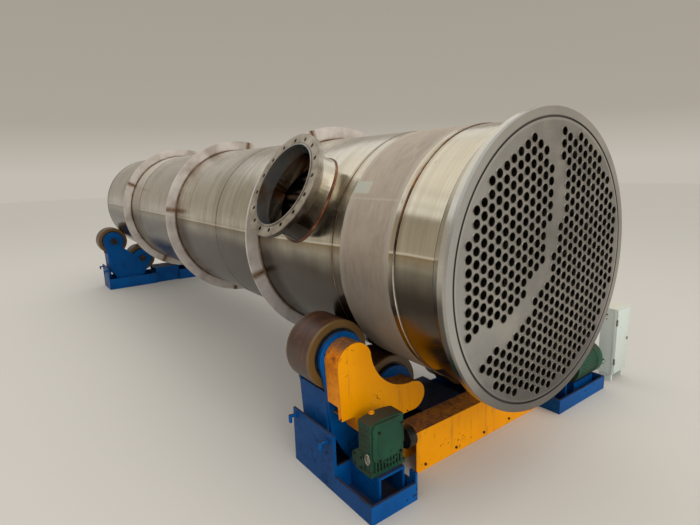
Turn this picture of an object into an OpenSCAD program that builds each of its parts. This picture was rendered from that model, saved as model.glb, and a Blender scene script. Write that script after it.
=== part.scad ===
// Shell and tube heat exchanger lying on a pair of turning roll units.
// X runs along the vessel towards its front tube sheet, Y to the right seen from that end, Z up.
// The origin is on the floor under the vessel's axis, at the middle of the drive unit.

/* [Vessel] */
// Height of the vessel's axis above the floor
axis_z = 1050; // [1045:1:1070]
// Outside radius of the shell
shell_r = 590; // [588:1:600]
// Thickness of the shell plate
shell_wall = 14; // [10:1:15]
// Length between the outer faces of the two tube sheets
vessel_l = 5950; // [5930:10:6400]
// Outer face of the front tube sheet, ahead of the drive unit's middle
sheet_x = 735; // [700:5:900]
// Thickness of each tube sheet
sheet_t = 60; // [40:1:80]
// How far the front tube sheet's rim stands out of the shell
rim_rise = 40; // [35:1:60]
// Width of the rim before it tapers to the shell
rim_w = 42; // [30:1:50]
// Depth of the front tube sheet with its tapered hub
hub_l = 100; // [90:1:130]
// Distance of the groove in the front tube sheet from its rim
groove_in = 38; // [30:1:45]
// Width of that groove
groove_w = 5; // [3:0.5:8]
// Depth of that groove
groove_d = 4; // [2:0.5:8]
// Length of the front shell course
front_course_l = 635; // [600:5:700]
// Length of the shell course that carries the nozzle
nozzle_course_l = 1425; // [1300:5:1500]
// Length of the middle shell course
middle_course_l = 2102; // [1900:5:2200]

/* [Stiffener rings] */
// Height of the stiffener rings above the shell
ring_h = 80; // [50:1:100]
// Thickness of the stiffener rings
ring_t = 15; // [10:1:20]
// Front face of the front stiffener ring
ring_front_x = -752; // [-800:1:-740]
// Front face of the middle stiffener ring
ring_middle_x = -2312; // [-2400:1:-2200]
// Front face of the rear stiffener ring
ring_rear_x = -3882; // [-4000:1:-3800]

/* [Tube bundle] */
// Distance between neighbouring tubes
tube_pitch = 48; // [47.8:0.1:48]
// Outside diameter of a tube
tube_d = 38; // [32:0.5:40]
// Wall of a tube
tube_wall = 2; // [1.5:0.1:3]
// How far the tubes stand out of the tube sheets
tube_out = 3; // [1:0.5:6]
// Turn of the tube pattern about the vessel's axis
pattern_turn = 1.27; // [0:0.01:3]
// Half height of the sloping lane between the tube passes
lane_h = 49; // [45:1:50]
// Half width of the upright lane between the tube passes
lane_w = 50; // [45:1:50]
// Number of baffle plates along the bundle
baffle_n = 3; // [2:1:5]
// Thickness of a baffle plate
baffle_t = 12; // [8:1:16]
// Distance from the vessel's axis to a baffle's straight edge
baffle_cut = 300; // [200:5:400]

/* [Nozzle] */
// Place of the nozzle along the vessel
nozzle_x = -344; // [-400:1:-320]
// Height of the nozzle's direction above the horizontal
nozzle_tilt = 28.4; // [20:0.1:35]
// Height of the flange face above the shell's outside
nozzle_rise = 138; // [125:1:170]
// Radius of the nozzle's bore
nozzle_bore_r = 218; // [200:1:220]
// Wall of the nozzle's neck
nozzle_wall = 8; // [6:0.5:12]
// Height of the neck's stub, where the flange is welded on, above the shell's outside
collar_rise = 60; // [45:1:75]
// Radius of the hole cut in the shell for the neck's stub
collar_foot_r = 238; // [236:1:245]
// Outside radius of the flange
flange_r = 280; // [270:1:290]
// Thickness of the flange without its raised lip
flange_t = 27; // [20:1:35]
// Height of the flange's raised lip
lip_h = 3; // [2:0.5:5]
// Outside radius of the flange's raised lip
lip_r = 229; // [228:1:232]
// Radius of the flange's bolt circle
bolt_circle_r = 248; // [246:1:255]
// Radius of a bolt hole in the flange
bolt_hole_r = 11; // [8:0.5:12]
// Number of bolt holes in the flange
bolt_n = 16; // [8:4:24]

/* [Rollers] */
// Outside radius of the roller tyres
roller_r = 168; // [160:1:172]
// Width of the roller tyres
roller_w = 200; // [180:2:204]
// Middle of the rollers, from the unit's middle
roller_x = -37; // [-39:1:-35]
// Thickness of the roller tyres
tyre_t = 36; // [25:1:45]
// Radius of the roller shafts
shaft_r = 40; // [30:1:45]
// Angle of the outer rollers from straight below the vessel
outer_angle = 54.5; // [54:0.1:55]
// Angle of the inner rollers from straight below the vessel
inner_angle = 22.8; // [22.4:0.1:23.2]

/* [Roll units] */
// Distance of the idler unit's middle from the rear tube sheet's face
idler_inset = 145; // [115:1:400]
// Width of each unit's base along the vessel
base_w = 357; // [350:1:370]
// Plate thickness of the bases
plate_t = 12; // [8:1:16]
// Outer side of a base, beyond its outer roller's centre
base_reach = 122.6; // [120:0.1:140]
// Inner end of a base, where the cross beam begins
base_inner_y = 150; // [120:1:170]
// Height of the bases' low end walls
base_low_h = 135; // [120:1:150]
// Height of the bases' outer side plates
base_side_h = 290; // [270:1:300]
// Height of the cross beams
beam_h = 200; // [180:1:240]
// Width of the cross beams
beam_w = 300; // [260:1:340]
// Thickness of a bogie's cheek plates
cheek_t = 18; // [12:1:19]
// Space between a roller and the cheek plates
cheek_gap = 8; // [6:0.5:8]
// Radius of the cheek plates round the roller shafts
cheek_r = 120; // [100:1:135]
// Distance of a bogie's pin from the middle of the unit
pin_y = 470; // [450:1:490]
// Height of a bogie's pin above the floor
pin_z = 90; // [85:1:110]
// Radius of a bogie's pin
pin_r = 30; // [20:1:35]

/* [Drive] */
// Depth of the gear guards along the vessel
guard_l = 103; // [90:1:110]
// Sheet thickness of the gear guards and the shaft cover
sheet_metal = 3; // [2:0.5:5]
// Radius of the gear guards' upper round end
guard_r = 95; // [85:1:105]
// Radius of the gear guards' lower round end
guard_low_r = 75; // [65:1:85]
// Length of the trays along the vessel
tray_l = 264; // [250:1:290]
// Height of the trays' walls
tray_h = 87; // [70:1:100]
// Height of the channel that carries a gearbox
channel_h = 138; // [120:1:145]
// Thickness of the gearboxes' wheel housings along the vessel
gearbox_t = 91; // [80:1:100]
// Width of the gearboxes' wheel housings
gearbox_w = 190; // [160:1:195]
// Height of the gearboxes above their channel
gearbox_h = 253; // [235:1:260]
// Distance from the guards' front to the gearboxes' back
gearbox_gap = 81; // [60:1:90]
// Height of the cross shaft above the floor
worm_z = 198; // [190:1:205]
// Radius of the cross shaft
cross_r = 14; // [12:1:15]
// Radius of the shaft couplings
coupling_r = 52; // [45:1:72]
// Length of a shaft coupling
coupling_l = 45; // [30:1:115]
// Height of the cover over the cross shaft
cover_h = 218; // [215:1:240]
// Width of the cover over the cross shaft
cover_w = 131; // [125:1:140]
// Radius of the drive motor's body
motor_r = 105; // [80:1:108]
// Length of the drive motor
motor_l = 290; // [250:5:300]
// Height of the control box
box_h = 454; // [400:2:500]
// Width of the control box across the vessel
box_w = 185; // [150:5:220]
// Depth of the control box along the vessel
box_d = 100; // [90:5:130]

/* [Hidden] */

// Colours
stainless = "#a9a49a";
ring_grey = "#cfc5bd";
deep_blue = "#0a4a94";
guard_yellow = "#f5a000";
gear_green = "#2f5c4c";
tyre_brown = "#6a4a35";
box_grey = "#c5cdc3";
dark_steel = "#4a4745";

// Clearances: between curved faces that meet, and round a tube in its hole
seat = 0.3;
tube_seat = 0.3;

// Vessel
shell_in_r = shell_r - shell_wall;
rim_r = shell_r + rim_rise;
groove_r = rim_r - groove_in;
nozzle_h = shell_r + nozzle_rise;
collar_top_h = shell_r + collar_rise;
hub_x = sheet_x - hub_l;
seam_x = hub_x - front_course_l;
nozzle_end_x = seam_x - nozzle_course_l;
middle_end_x = nozzle_end_x - middle_course_l;
rear_x = sheet_x - vessel_l;
rear_sheet_x = rear_x + sheet_t;
idler_x = rear_x + idler_inset;

// Tube pattern: columns half a pitch apart in height, in an upright frame before it is turned.
// The lanes are written for a pitch of 48 mm and grow with it.
lane_scale = tube_pitch / 48;
column_step = tube_pitch * sqrt(3) / 2;
column_y = -17 * lane_scale;
row_z = 7 * lane_scale;
pattern_r = shell_in_r - 24;
pattern_n = ceil(pattern_r / column_step);
plug_r = 5;
lane_points = [[-530, -236], [-308, -230], [-142, -113], [0, 0]] * lane_scale;

// Rollers and what carries them
axis = [0, axis_z];
roller_orbit = shell_r + seat + roller_r;
function roller_centre(a) = [-roller_orbit * sin(a), axis_z - roller_orbit * cos(a)];
outer_c = roller_centre(outer_angle);
inner_c = roller_centre(inner_angle);
cheek_front_x = roller_x + roller_w / 2 + cheek_gap;
cheek_rear_x = roller_x - roller_w / 2 - cheek_gap - cheek_t;
cheek_out_x = cheek_front_x + cheek_t;
base_y = -outer_c[0] + base_reach;

// Drive
guard_x = cheek_out_x + seat;
guard_front_x = guard_x + guard_l;
gearbox_x = guard_front_x + gearbox_gap;
gearbox_z = plate_t + channel_h;
gearbox_y = -575;
worm_x = base_w / 2 + cover_w / 2 + 30;
cover_y = [-352, 670];
tray_inner_y = 476;
right_tray_y = [690, 1226];
gearbox_right_y = 790;
motor_start_y = 930;
motor_x = gearbox_x + gearbox_t / 2;
channel_w = 150;
gearbox_lip = 6;
output_z = gearbox_z + 150;
output_r = 34;
box_x = worm_x + 61;
box_y = right_tray_y[1] + 119;

module at_axis() {
    translate([0, 0, axis_z]) children();
}

// A flat outline in Y and Z, given its thickness along X
module plate_x(x, t) {
    translate([x, 0, 0]) rotate([90, 0, 90]) linear_extrude(t) children();
}

// An outline of radius and X, turned about the vessel's axis
module revolve_x(fn = 180) {
    at_axis() rotate([0, 90, 0]) rotate_extrude($fn = fn) children();
}

module box(lo, hi) {
    translate(lo) cube(hi - lo);
}

module rod_y(x, y0, y1, z, r) {
    translate([x, y0, z]) rotate([-90, 0, 0]) cylinder(r = r, h = y1 - y0, $fn = 64);
}

module mirror_if(right) {
    mirror([0, right ? 1 : 0, 0]) children();
}

// Tube pattern

// Height of the sloping lane's middle line at y, or undef beside it
function lane_z(y) =
    let (s = [for (i = [0 : len(lane_points) - 2])
        let (a = lane_points[i], b = lane_points[i + 1])
        if (y >= a[0] && y <= b[0]) a[1] + (b[1] - a[1]) * (y - a[0]) / (b[0] - a[0])])
    len(s) > 0 ? s[0] : undef;
function in_slope(p) = p[0] < 0 && !is_undef(lane_z(p[0])) && abs(p[1] - lane_z(p[0])) < lane_h;
function in_lane(y, z, low, high, middle) = z > low && z <= high && abs(y - middle * lane_scale) < lane_w;
function in_upright(p) =
    let (z = p[1] / lane_scale)
    in_lane(p[0], z, 40, 176, 3) || in_lane(p[0], z, 176, 416, 45) || in_lane(p[0], z, 416, 1000, 3)
    || (z > 500 && p[0] > -110 * lane_scale && p[0] < 45 * lane_scale);
function is_plug(p) = norm(p - [column_y, row_z]) < plug_r;
function kept(p) = norm(p) <= pattern_r && !in_slope(p) && !in_upright(p) && !is_plug(p);
tube_points = [
    for (i = [-pattern_n : pattern_n])
    for (k = [-pattern_n : pattern_n])
    let (p = [column_y + i * column_step, row_z + (k + (abs(i) % 2) / 2) * tube_pitch])
    if (kept(p)) p
];

module tube_places() {
    rotate(pattern_turn) for (p = tube_points) translate(p) children();
}

module tube_holes() {
    tube_places() circle(r = tube_d / 2 + tube_seat, $fn = 32);
}

module front_tube_sheet() {
    color(stainless) at_axis() difference() {
        rotate([0, 90, 0]) rotate_extrude($fn = 180) polygon([
            [0, sheet_x - sheet_t],
            [shell_in_r, sheet_x - sheet_t],
            [shell_in_r, hub_x],
            [shell_r, hub_x],
            [rim_r, sheet_x - rim_w],
            [rim_r, sheet_x],
            [0, sheet_x]
        ]);
        plate_x(sheet_x - sheet_t - 1, sheet_t + 2) tube_holes();
        plate_x(sheet_x - groove_d, groove_d + 1) difference() {
            circle(r = groove_r + groove_w / 2, $fn = 180);
            circle(r = groove_r - groove_w / 2, $fn = 180);
        }
    }
}

module rear_tube_sheet() {
    color(stainless) at_axis() difference() {
        plate_x(rear_x, sheet_t) circle(r = shell_r, $fn = 180);
        plate_x(rear_x - 1, sheet_t + 2) tube_holes();
    }
}

module course(x0, x1) {
    color(stainless) revolve_x() translate([shell_in_r, x0]) square([shell_wall, x1 - x0]);
}

module front_course() course(seam_x, hub_x);
module middle_course() course(middle_end_x, nozzle_end_x);
module rear_course() course(rear_sheet_x, middle_end_x);

module nozzle_course() {
    color(stainless) difference() {
        course(nozzle_end_x, seam_x);
        at_nozzle() cylinder(r = collar_foot_r, h = nozzle_h, $fn = 120);
    }
}

module tube_bundle() {
    color(stainless) at_axis() plate_x(rear_x - tube_out, vessel_l + 2 * tube_out)
        tube_places() difference() {
            circle(d = tube_d, $fn = 32);
            circle(d = tube_d - 2 * tube_wall, $fn = 32);
        }
}

// Segmental plates, cut away above and below in turn
module baffle_set() {
    step = (vessel_l - 2 * sheet_t) / (baffle_n + 1);
    color(dark_steel) at_axis() for (i = [1 : baffle_n])
        plate_x(rear_sheet_x + i * step, baffle_t) difference() {
            circle(r = shell_in_r - 2, $fn = 120);
            translate([-shell_r, i % 2 == 0 ? baffle_cut : -baffle_cut - shell_r])
                square([2 * shell_r, shell_r]);
            tube_holes();
        }
}

module stiffener_ring(x) {
    color(ring_grey) revolve_x() translate([shell_r + seat, x - ring_t]) square([ring_h - seat, ring_t]);
}

module stiffener_ring_front() stiffener_ring(ring_front_x);
module stiffener_ring_middle() stiffener_ring(ring_middle_x);
module stiffener_ring_rear() stiffener_ring(ring_rear_x);

// Nozzle

module at_nozzle() {
    translate([nozzle_x, 0, axis_z]) rotate([90 - nozzle_tilt, 0, 0]) children();
}

// Height of a cylinder of radius r, seen along the nozzle, at the point p of a plan
function cap_h(r, y) = sqrt(r * r - y * y);

// The neck's stub flares a little at its foot, where it is welded into the shell.
collar_n = 60;
fillet_n = 8;
collar_r = collar_foot_r - seat;
neck_r = nozzle_bore_r + nozzle_wall;
function collar_point(a, r, h) = [r * cos(a), r * sin(a), h];
function foot_h(a, r) = cap_h(shell_r, r * sin(a));
function inner_h(a, r) = cap_h(shell_in_r, r * sin(a));
function fillet_point(a, t) = collar_point(
    a,
    neck_r + (collar_r - neck_r) * (1 - sin(t)),
    foot_h(a, collar_r) + (collar_top_h - foot_h(a, collar_r)) * (1 - cos(t))
);
function collar_rings() = concat(
    [for (i = [0 : fillet_n]) [for (j = [0 : collar_n - 1])
        fillet_point(j * 360 / collar_n, i * 90 / fillet_n)]],
    [[for (j = [0 : collar_n - 1]) collar_point(j * 360 / collar_n, nozzle_bore_r + 1, collar_top_h)]],
    [[for (j = [0 : collar_n - 1]) let (a = j * 360 / collar_n)
        collar_point(a, nozzle_bore_r + 1, inner_h(a, nozzle_bore_r + 1))]],
    [[for (j = [0 : collar_n - 1]) let (a = j * 360 / collar_n)
        collar_point(a, collar_r, inner_h(a, collar_r))]]
);

module nozzle_collar() {
    rings = collar_rings();
    m = len(rings);
    faces = [for (k = [0 : m - 1]) for (j = [0 : collar_n - 1])
        let (a = k * collar_n + j, b = k * collar_n + (j + 1) % collar_n)
        let (c = (k + 1) % m * collar_n + (j + 1) % collar_n, d = (k + 1) % m * collar_n + j)
        each [[a, c, b], [a, d, c]]];
    color(stainless) at_nozzle() polyhedron([for (r = rings) each r], faces);
}

module nozzle_flange() {
    lip_z = nozzle_h - lip_h;
    color(stainless) at_nozzle() difference() {
        rotate_extrude($fn = 120) polygon([
            [nozzle_bore_r, collar_top_h],
            [neck_r, collar_top_h],
            [neck_r, lip_z - flange_t],
            [flange_r, lip_z - flange_t],
            [flange_r, lip_z],
            [lip_r, lip_z],
            [lip_r, nozzle_h],
            [nozzle_bore_r, nozzle_h]
        ]);
        for (i = [0 : bolt_n - 1])
            rotate((i + 0.5) * 360 / bolt_n) translate([bolt_circle_r, 0, lip_z - flange_t - 1])
                cylinder(r = bolt_hole_r, h = flange_t + 2, $fn = 24);
    }
}

// Rollers

module roller_tyre(unit_x, c, right) {
    chamfer = 5;
    x0 = roller_x - roller_w / 2;
    x1 = roller_x + roller_w / 2;
    color(tyre_brown) mirror_if(right) translate([unit_x, c[0], c[1]]) rotate([0, 90, 0])
        rotate_extrude($fn = 96) polygon([
            [roller_r - tyre_t, x0],
            [roller_r - chamfer, x0],
            [roller_r, x0 + chamfer],
            [roller_r, x1 - chamfer],
            [roller_r - chamfer, x1],
            [roller_r - tyre_t, x1]
        ]);
}

module roller_hub(unit_x, c, right) {
    rim = roller_r - tyre_t - seat;
    rim_t = 14;
    web = 20;
    x0 = roller_x - roller_w / 2;
    x1 = roller_x + roller_w / 2;
    color(dark_steel) mirror_if(right) translate([unit_x, c[0], c[1]]) rotate([0, 90, 0])
        rotate_extrude($fn = 96) polygon([
            [0, cheek_rear_x - 5],
            [shaft_r, cheek_rear_x - 5],
            [shaft_r, roller_x - web / 2],
            [rim - rim_t, roller_x - web / 2],
            [rim - rim_t, x0],
            [rim, x0],
            [rim, x1],
            [rim - rim_t, x1],
            [rim - rim_t, roller_x + web / 2],
            [shaft_r, roller_x + web / 2],
            [shaft_r, cheek_out_x + 30],
            [0, cheek_out_x + 30]
        ]);
}

module drive_tyre_left_outer() roller_tyre(0, outer_c, false);
module drive_tyre_left_inner() roller_tyre(0, inner_c, false);
module drive_tyre_right_inner() roller_tyre(0, inner_c, true);
module drive_tyre_right_outer() roller_tyre(0, outer_c, true);
module drive_hub_left_outer() roller_hub(0, outer_c, false);
module drive_hub_left_inner() roller_hub(0, inner_c, false);
module drive_hub_right_inner() roller_hub(0, inner_c, true);
module drive_hub_right_outer() roller_hub(0, outer_c, true);
module idler_tyre_left_outer() roller_tyre(idler_x, outer_c, false);
module idler_tyre_left_inner() roller_tyre(idler_x, inner_c, false);
module idler_tyre_right_inner() roller_tyre(idler_x, inner_c, true);
module idler_tyre_right_outer() roller_tyre(idler_x, outer_c, true);
module idler_hub_left_outer() roller_hub(idler_x, outer_c, false);
module idler_hub_left_inner() roller_hub(idler_x, inner_c, false);
module idler_hub_right_inner() roller_hub(idler_x, inner_c, true);
module idler_hub_right_outer() roller_hub(idler_x, outer_c, true);

// Bogies: two cheek plates with a pair of rollers between them, tipping on a pin in the base

// The cheeks' saddle lies between the rollers, towards the shell
saddle_r = 160;
saddle_in = 60;
saddle_a = (outer_angle + inner_angle) / 2;
saddle_c = axis - (shell_r - saddle_in) * [sin(saddle_a), cos(saddle_a)];
post_y = outer_c[0] - 83;
foot_half = 90;
foot_z = pin_z - 50;

module cheek_outline() {
    difference() {
        union() {
            translate(outer_c) circle(r = cheek_r, $fn = 96);
            translate(inner_c) circle(r = cheek_r, $fn = 96);
            polygon([
                [outer_c[0] - cheek_r + 7, outer_c[1] - 40],
                [post_y, outer_c[1] - 180],
                [post_y + 10, outer_c[1] - 360],
                [outer_c[0] - 3, foot_z + 80],
                [-pin_y - foot_half, foot_z],
                [-pin_y + foot_half, foot_z],
                [inner_c[0] - 6, foot_z + 80],
                [inner_c[0] + cheek_r - 13, inner_c[1] - 50],
                inner_c,
                [saddle_c[0], inner_c[1]],
                outer_c
            ]);
        }
        translate(saddle_c) circle(r = saddle_r, $fn = 96);
        translate(outer_c) circle(r = shaft_r + seat, $fn = 64);
        translate(inner_c) circle(r = shaft_r + seat, $fn = 64);
        translate([-pin_y, pin_z]) circle(r = pin_r + seat, $fn = 64);
    }
}

module bogie(unit_x, right) {
    in0 = cheek_rear_x + cheek_t - 1;
    in1 = cheek_front_x + 1;
    color(deep_blue) mirror_if(right) translate([unit_x, 0, 0]) {
        plate_x(cheek_front_x, cheek_t) cheek_outline();
        plate_x(cheek_rear_x, cheek_t) cheek_outline();
        box([in0, post_y, pin_z + 60], [in1, post_y + plate_t, outer_c[1] - roller_r + 6]);
        box([in0, -pin_y - foot_half, foot_z], [in1, -pin_y + foot_half, foot_z + plate_t]);
    }
}

module drive_bogie_left() bogie(0, false);
module drive_bogie_right() bogie(0, true);
module idler_bogie_left() bogie(idler_x, false);
module idler_bogie_right() bogie(idler_x, true);

// Bases

module base_frame(x) {
    half = base_w / 2;
    translate([x, 0, 0]) {
        box([-half, -base_y, 0], [half, -base_inner_y, plate_t]);
        box([-half, -base_y, 0], [plate_t - half, -base_inner_y, base_low_h]);
        box([half - plate_t, -base_y, 0], [half, -base_inner_y, base_low_h]);
        box([-half, -base_y, 0], [half, plate_t - base_y, base_side_h]);
        box([-half, -base_inner_y - plate_t, 0], [half, -base_inner_y, base_low_h]);
        translate([0, -pin_y, pin_z]) rotate([0, 90, 0])
            cylinder(r = pin_r, h = base_w - plate_t, center = true, $fn = 64);
        for (s = [-1, 1]) translate([s * (half - plate_t / 2), -pin_y, pin_z]) rotate([0, 90, 0])
            cylinder(r = 2 * pin_r, h = plate_t, center = true, $fn = 64);
    }
}

// An open tray welded to the front of a base
module tray(y0, y1) {
    x0 = base_w / 2;
    x1 = x0 + tray_l;
    box([x0, y0, 0], [x1, y1, plate_t]);
    box([x0, y0, 0], [x1, y0 + plate_t, tray_h]);
    box([x0, y1 - plate_t, 0], [x1, y1, tray_h]);
    box([x1 - plate_t, y0, 0], [x1, y1, tray_h]);
}

// The upturned channel that a gearbox stands on
module gearbox_channel(y) {
    x0 = base_w / 2;
    x1 = gearbox_x + gearbox_t + 20;
    box([x0, y - channel_w / 2, plate_t], [x1, y - channel_w / 2 + plate_t, gearbox_z]);
    box([x0, y + channel_w / 2 - plate_t, plate_t], [x1, y + channel_w / 2, gearbox_z]);
    box([x0, y - channel_w / 2, gearbox_z - plate_t], [x1, y + channel_w / 2, gearbox_z]);
}

module drive_base_left() {
    post_h = 138;
    x1 = base_w / 2 + tray_l;
    color(deep_blue) union() {
        base_frame(0);
        tray(-base_y, -tray_inner_y);
        gearbox_channel(gearbox_y);
        box([x1 - 40, -tray_inner_y - plate_t, 0], [x1, -tray_inner_y, post_h]);
    }
}

module drive_base_right() {
    color(deep_blue) union() {
        mirror([0, 1, 0]) base_frame(0);
        tray(right_tray_y[0], right_tray_y[1]);
        gearbox_channel(gearbox_right_y);
        foot_y = [motor_start_y + 30, motor_start_y + motor_l - 30];
        box([motor_x - 60, foot_y[0], plate_t], [motor_x + 60, foot_y[1], worm_z - motor_r - seat]);
    }
}

module cross_beam(x) {
    half = beam_w / 2;
    in_w = half - plate_t;
    translate([x, 0, 0]) difference() {
        box([-half, -base_inner_y, 0], [half, base_inner_y, beam_h]);
        box([-in_w, -base_inner_y - 1, plate_t], [in_w, base_inner_y + 1, beam_h - plate_t]);
    }
}

module drive_cross_beam() {
    color(deep_blue) cross_beam(0);
}

module idler_base() {
    color(deep_blue) union() {
        base_frame(idler_x);
        mirror([0, 1, 0]) base_frame(idler_x);
        cross_beam(idler_x);
    }
}

// Gear guards: folded sheet over the gears in front of a bogie

// Sizes of their front outline, in Y and Z
guard_lean = 14;
guard_low_c = inner_c + [37, -14];
guard_foot_z = outer_c[1] - 257;
guard_slope_y = inner_c[0] - 66;
// A tail hangs down over the gearbox's output shaft, clear of the base's side plate
guard_tail_w = 53;
guard_tail_slope = 28;
guard_tail_z = guard_foot_z - 20;
guard_saddle_c = saddle_c + [48, 25];
guard_saddle_r = 245;

// Cut at the back of the outer side, where the guard clears its base
guard_step = [78, 62];

module guard_outline(reach, shaft_y) {
    left = outer_c[0] - guard_r;
    foot_y = left + guard_lean - reach;
    low_z = guard_low_c[1] - guard_low_r;
    difference() {
        union() {
            translate(outer_c) circle(r = guard_r, $fn = 96);
            translate(guard_low_c) circle(r = guard_low_r, $fn = 96);
            polygon([
                outer_c,
                [left, outer_c[1]],
                [foot_y, guard_foot_z],
                [shaft_y - guard_tail_w, guard_foot_z],
                [shaft_y - guard_tail_w + guard_tail_slope, low_z],
                [shaft_y + guard_tail_w - guard_tail_slope - 5, low_z],
                [shaft_y + guard_tail_w, guard_tail_z],
                [guard_slope_y, low_z],
                [guard_low_c[0], low_z],
                guard_low_c + [0, guard_low_r],
                saddle_c
            ]);
        }
        translate(guard_saddle_c) circle(r = guard_saddle_r, $fn = 120);
    }
}

module gear_guard(reach, shaft_y) {
    difference() {
        plate_x(guard_x, guard_l) guard_outline(reach, shaft_y);
        plate_x(guard_x - 1, guard_l + 1 - sheet_metal)
            offset(delta = -sheet_metal) guard_outline(reach, shaft_y);
    }
}

module gear_guard_left() {
    low = [guard_x - 1, outer_c[0] - guard_r - 1, guard_foot_z - 1];
    color(guard_yellow) difference() {
        gear_guard(0, gearbox_y);
        box(low, low + [guard_step[0] + 1, 40, guard_step[1] + 1]);
    }
}

module gear_guard_right() {
    color(guard_yellow) mirror([0, 1, 0]) gear_guard(176, -gearbox_right_y);
}

// Worm gearboxes: a wheel housing on a worm housing that runs across it
module gearbox(y) {
    corner_r = 28;
    crown_r = 400;
    side = gearbox_w / 2;
    corner_y = side - corner_r - 8;
    top = gearbox_z + gearbox_h;
    front_x = gearbox_x + gearbox_t;
    foot = side + gearbox_lip;
    translate([0, y, 0]) union() {
        plate_x(gearbox_x, gearbox_t - 9) union() {
            translate([-side, gearbox_z + 16]) square([gearbox_w, gearbox_h - 46]);
            translate([0, top - crown_r]) intersection() {
                circle(r = crown_r, $fn = 360);
                translate([-side, crown_r - 50]) square([gearbox_w, 60]);
            }
        }
        plate_x(front_x - 10, 10) hull() {
            for (s = [-1, 1]) for (h = [gearbox_z + 90, top - 40])
                translate([s * corner_y, h]) circle(r = corner_r, $fn = 32);
        }
        box([gearbox_x - 10, -foot, gearbox_z], [front_x, foot, gearbox_z + 18]);
        rod_y(worm_x, -foot, foot, worm_z, 46);
        translate([guard_front_x + seat, 0, output_z]) rotate([0, 90, 0])
            cylinder(r = output_r, h = gearbox_gap + 5, $fn = 64);
    }
}

module gearbox_left() {
    color(gear_green) gearbox(gearbox_y);
}

module gearbox_right() {
    color(gear_green) gearbox(gearbox_right_y);
}

module cross_shaft() {
    y0 = gearbox_y + gearbox_w / 2 + gearbox_lip;
    y1 = gearbox_right_y - gearbox_w / 2 - gearbox_lip;
    color(dark_steel) union() {
        rod_y(worm_x, y0, y1, worm_z, cross_r);
        rod_y(worm_x, cover_y[0] - 8 - coupling_l, cover_y[0] - 8, worm_z, coupling_r);
    }
}

module shaft_cover() {
    x0 = base_w / 2;
    x1 = x0 + cover_w;
    t = sheet_metal;
    color(guard_yellow) difference() {
        box([x0, cover_y[0], 0], [x1, cover_y[1], cover_h]);
        box([x0 + t, cover_y[0] - 1, -1], [x1 - t, cover_y[1] + 1, cover_h - t]);
    }
}

module drive_motor() {
    neck_y = gearbox_right_y + gearbox_w / 2 + gearbox_lip + seat;
    color(gear_green) union() {
        rod_y(motor_x, motor_start_y, motor_start_y + motor_l, worm_z, motor_r);
        rod_y(motor_x, neck_y, motor_start_y + 1, worm_z, 50);
    }
}

module control_box() {
    plinth = 54;
    foot_in = 10;
    lo = [box_x, box_y, plinth];
    hi = lo + [box_d, box_w, box_h];
    wall = [2, 2, 2];
    color(box_grey) union() {
        difference() {
            box(lo, hi);
            box(lo + wall, hi - wall);
        }
        for (y = [lo[1] + foot_in, hi[1] - foot_in - 20])
            box([lo[0] + foot_in, y, 0], [hi[0] - foot_in, y + 20, plinth + 1]);
    }
}

front_tube_sheet();
front_course();
nozzle_course();
middle_course();
rear_course();
rear_tube_sheet();
tube_bundle();
baffle_set();
stiffener_ring_front();
stiffener_ring_middle();
stiffener_ring_rear();
nozzle_collar();
nozzle_flange();
drive_base_left();
drive_base_right();
drive_cross_beam();
shaft_cover();
drive_bogie_left();
drive_bogie_right();
gear_guard_left();
gear_guard_right();
gearbox_left();
gearbox_right();
cross_shaft();
drive_motor();
control_box();
idler_base();
idler_bogie_left();
idler_bogie_right();
drive_tyre_left_outer();
drive_tyre_left_inner();
drive_tyre_right_inner();
drive_tyre_right_outer();
drive_hub_left_outer();
drive_hub_left_inner();
drive_hub_right_inner();
drive_hub_right_outer();
idler_tyre_left_outer();
idler_tyre_left_inner();
idler_tyre_right_inner();
idler_tyre_right_outer();
idler_hub_left_outer();
idler_hub_left_inner();
idler_hub_right_inner();
idler_hub_right_outer();
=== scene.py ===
"""Looks of a shell and tube heat exchanger that lies on a pair of turning roll units.

Metres, X along the vessel towards its front tube sheet, Y to the right seen from there, Z up.
"""

import math
import random
from functools import partial

import bpy
from bpy.props import FloatProperty, FloatVectorProperty, PointerProperty
from mathutils import Matrix, Vector


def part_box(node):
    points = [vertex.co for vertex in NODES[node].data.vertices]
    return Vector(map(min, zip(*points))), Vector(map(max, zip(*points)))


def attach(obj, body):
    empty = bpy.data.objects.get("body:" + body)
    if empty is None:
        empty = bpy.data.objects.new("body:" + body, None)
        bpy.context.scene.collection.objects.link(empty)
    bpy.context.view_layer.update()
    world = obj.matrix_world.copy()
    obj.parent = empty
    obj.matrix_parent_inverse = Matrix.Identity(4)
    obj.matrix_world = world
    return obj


bl_info = {
    "name": "Heat exchanger finish",
    "version": (1, 0, 0),
    "blender": (4, 5, 0),
    "location": "View3D > Sidebar > Exchanger",
    "description": "Dresses a shell and tube heat exchanger on turning rolls",
    "category": "Object",
}

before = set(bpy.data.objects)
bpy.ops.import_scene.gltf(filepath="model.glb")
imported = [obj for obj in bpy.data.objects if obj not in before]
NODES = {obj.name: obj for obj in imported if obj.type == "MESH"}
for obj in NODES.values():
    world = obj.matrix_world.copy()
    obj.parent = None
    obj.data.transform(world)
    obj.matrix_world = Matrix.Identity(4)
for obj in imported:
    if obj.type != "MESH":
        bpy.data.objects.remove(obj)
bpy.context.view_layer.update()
MM = 0.001
VESSEL = "vessel"
ROLLS = "roll_units"

# The frame's own sizes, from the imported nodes
SHELL_LOW, SHELL_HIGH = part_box("middle_course")
FLANGE_LOW, FLANGE_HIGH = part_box("nozzle_flange")
AXIS_Z = (SHELL_LOW.z + SHELL_HIGH.z) / 2
SHELL_R = (SHELL_HIGH.y - SHELL_LOW.y) / 2
SHEET_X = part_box("front_tube_sheet")[1].x
NOZZLE_X = (FLANGE_LOW.x + FLANGE_HIGH.x) / 2
NOZZLE_TILT = math.radians(28.4)
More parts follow.
